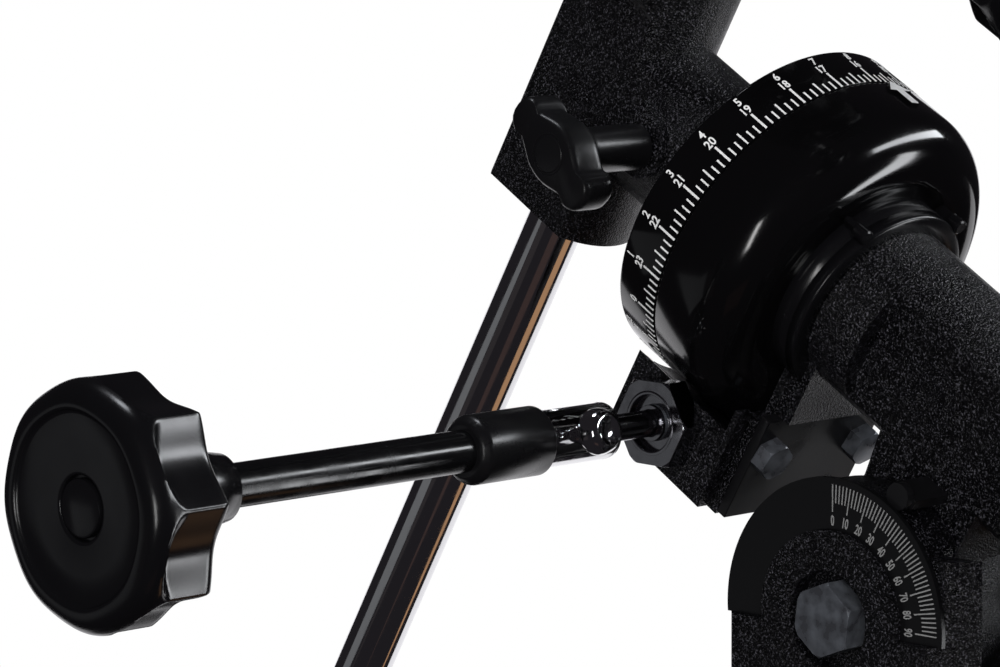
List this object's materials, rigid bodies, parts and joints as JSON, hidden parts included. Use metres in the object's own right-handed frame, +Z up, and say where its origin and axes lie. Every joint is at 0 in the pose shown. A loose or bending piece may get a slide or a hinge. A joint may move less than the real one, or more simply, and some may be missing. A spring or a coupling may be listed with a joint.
{
  "type": "equatorial telescope mount",
  "caption": "German equatorial telescope mount head with two geared axes, slow-motion controls, setting circles and a counterweight on its bar.",
  "frame": {"origin": "centre of the base adapter's bottom face, on the tapped hole that takes the tripod bolt", "axes": "+Z up along the azimuth axis, +Y north, towards which the polar axis rises by the latitude setting, +X east"},
  "size_m": [0.2097, 0.323, 0.3899],
  "materials": {
    "crinkle_black": "fine crinkle powder coat, black",
    "gloss_black": "gloss moulded black",
    "satin_black": "satin moulded black",
    "rod_black": "satin black rod",
    "weight_black": "black enamelled iron",
    "chrome": "polished chrome plate",
    "dark_steel": "blackened steel",
    "bright_steel": "turned bright steel",
    "bronze": "sintered bronze",
    "white_mark": "white moulded mark"
  },
  "bodies": {
    "base": {"base_adapter": "crinkle_black", "azimuth_washer": "bright_steel"},
    "yoke": {"yoke": "crinkle_black", "latitude_scale": "gloss_black", "latitude_bolt": "dark_steel", "latitude_washer": "dark_steel"},
    "azimuth_lock": {"azimuth_lock_screw": "dark_steel", "azimuth_lock_knob": "satin_black"},
    "latitude_lock": {"latitude_lock_handle": "satin_black"},
    "jack": {"latitude_jack_screw": "dark_steel", "latitude_jack_bar": "dark_steel"},
    "polar": {"polar_housing": "crinkle_black", "polar_bush_north": "bronze", "polar_bush_south": "bronze", "polar_end_cap": "gloss_black", "bell_cover": "gloss_black", "bell_arrow": "white_mark", "bell_collar": "gloss_black", "worm_block": "crinkle_black", "worm_bracket": "satin_black", "bracket_bolts": "dark_steel", "ra_bearing_nuts": "bright_steel", "latitude_pointer": "dark_steel"},
    "ra_control": {"ra_worm": "bright_steel", "ra_sleeve": "chrome", "ra_socket": "satin_black", "ra_rod": "rod_black", "ra_knob": "gloss_black", "ra_knob_cap": "gloss_black"},
    "ra_screw": {"ra_thumbscrew": "chrome"},
    "ra_gear": {"ra_worm_wheel": "bronze"},
    "head": {"dec_housing": "crinkle_black", "ra_shaft": "bright_steel", "ra_shaft_nut": "bright_steel", "dec_bush_upper": "bronze", "dec_bush_lower": "bronze", "dec_bell": "gloss_black", "dec_worm_block": "crinkle_black", "dec_bearing_nuts": "bright_steel"},
    "ra_ring": {"ra_circle": "gloss_black"},
    "ra_lock": {"ra_lock_screw": "dark_steel", "ra_lock_knob": "satin_black"},
    "dec_control": {"dec_worm": "bright_steel", "dec_sleeve": "chrome", "dec_socket": "satin_black", "dec_rod": "rod_black", "dec_knob": "gloss_black", "dec_knob_cap": "gloss_black"},
    "dec_screw": {"dec_thumbscrew": "chrome"},
    "dec_gear": {"dec_worm_wheel": "bronze"},
    "dec_lock": {"dec_lock_screw": "dark_steel", "dec_lock_knob": "satin_black"},
    "saddle_unit": {"dec_shaft": "bright_steel", "saddle": "crinkle_black", "counterweight_bar": "chrome", "bar_end_nut": "chrome"},
    "dec_ring": {"dec_circle": "gloss_black"},
    "weight": {"counterweight": "weight_black"},
    "weight_lock": {"weight_lock_screw": "chrome"}
  },
  "joints": [
    {"name": "azimuth", "type": "hinge", "parent": "base", "child": "yoke", "pos_m": [0, 0, 0], "axis": [0, 0, 1], "range_deg": [-175, 175]},
    {"name": "azimuth_lock_turn", "type": "hinge", "parent": "yoke", "child": "azimuth_lock", "pos_m": [-0.04, 0, 0.023], "axis": [-1, 0, 0], "range_deg": [-90, 90]},
    {"name": "latitude_lock_turn", "type": "hinge", "parent": "yoke", "child": "latitude_lock", "pos_m": [0.034, 0, 0.062], "axis": [1, 0, 0], "range_deg": [-90, 90]},
    {"name": "latitude_tilt", "type": "hinge", "parent": "yoke", "child": "polar", "pos_m": [0, 0, 0.062], "axis": [1, 0, 0], "range_deg": [-15, 15]},
    {"name": "latitude_jack", "type": "slide", "parent": "yoke", "child": "jack", "axis": [0, 1, 0], "range_m": [-0.0055, 0.0055]},
    {"name": "ra_slow", "type": "hinge", "parent": "polar", "child": "ra_gear", "pos_m": [0, 0.02656, 0.12778], "axis": [0, 0.859, 0.512], "range_deg": [-8, 8]},
    {"name": "ra_knob_turn", "type": "hinge", "parent": "polar", "child": "ra_control", "pos_m": [-0.03, 0.04623, 0.0948], "axis": [-1, 0, 0], "range_deg": [-800, 800]},
    {"name": "ra_screw_turn", "type": "hinge", "parent": "ra_control", "child": "ra_screw", "pos_m": [-0.0508, 0.04623, 0.0948], "axis": [0, -0.981, 0.1942], "range_deg": [-90, 90]},
    {"name": "ra_clutch", "type": "hinge", "parent": "ra_gear", "child": "head", "pos_m": [0, 0.04675, 0.13981], "axis": [0, 0.859, 0.512], "range_deg": [-72, 92]},
    {"name": "ra_circle_turn", "type": "hinge", "parent": "head", "child": "ra_ring", "pos_m": [0, 0.03644, 0.13367], "axis": [0, 0.859, 0.512], "continuous": true},
    {"name": "ra_lock_turn", "type": "hinge", "parent": "head", "child": "ra_lock", "pos_m": [-0.03, 0.05826, 0.14784], "axis": [-1, 0, 0], "range_deg": [-60, 60]},
    {"name": "dec_slow", "type": "hinge", "parent": "head", "child": "dec_gear", "pos_m": [0, 0.02874, 0.24736], "axis": [0, -0.512, 0.859], "range_deg": [-8, 8]},
    {"name": "dec_knob_turn", "type": "hinge", "parent": "head", "child": "dec_control", "pos_m": [-0.036, 0.00297, 0.232], "axis": [0, -0.859, -0.512], "range_deg": [-800, 800]},
    {"name": "dec_screw_turn", "type": "hinge", "parent": "dec_control", "child": "dec_screw", "pos_m": [-0.036, -0.01489, 0.22135], "axis": [-1, 0, 0], "range_deg": [-90, 90]},
    {"name": "dec_lock_turn", "type": "hinge", "parent": "head", "child": "dec_lock", "pos_m": [0.03, 0.04902, 0.21335], "axis": [1, 0, 0], "range_deg": [-60, 60]},
    {"name": "dec_clutch", "type": "hinge", "parent": "dec_gear", "child": "saddle_unit", "pos_m": [0, 0.0398, 0.22881], "axis": [0, -0.512, 0.859], "range_deg": [-170, 170]},
    {"name": "dec_circle_turn", "type": "hinge", "parent": "saddle_unit", "child": "dec_ring", "pos_m": [0, 0.0226, 0.25767], "axis": [0, -0.512, 0.859], "continuous": true},
    {"name": "weight_slide", "type": "slide", "parent": "saddle_unit", "child": "weight", "axis": [0, -0.512, 0.859], "range_m": [-0.012, 0.12]},
    {"name": "weight_lock_turn", "type": "hinge", "parent": "weight", "child": "weight_lock", "pos_m": [0, 0.23172, -0.00721], "axis": [0, 0.859, 0.512], "range_deg": [-90, 90]}
  ],
  "couplings": [
    {"joint": "latitude_jack", "follows": "latitude_tilt", "m_per_rad": 0.02},
    {"joint": "ra_knob_turn", "follows": "ra_slow", "ratio": 100},
    {"joint": "dec_knob_turn", "follows": "dec_slow", "ratio": 100}
  ]
}
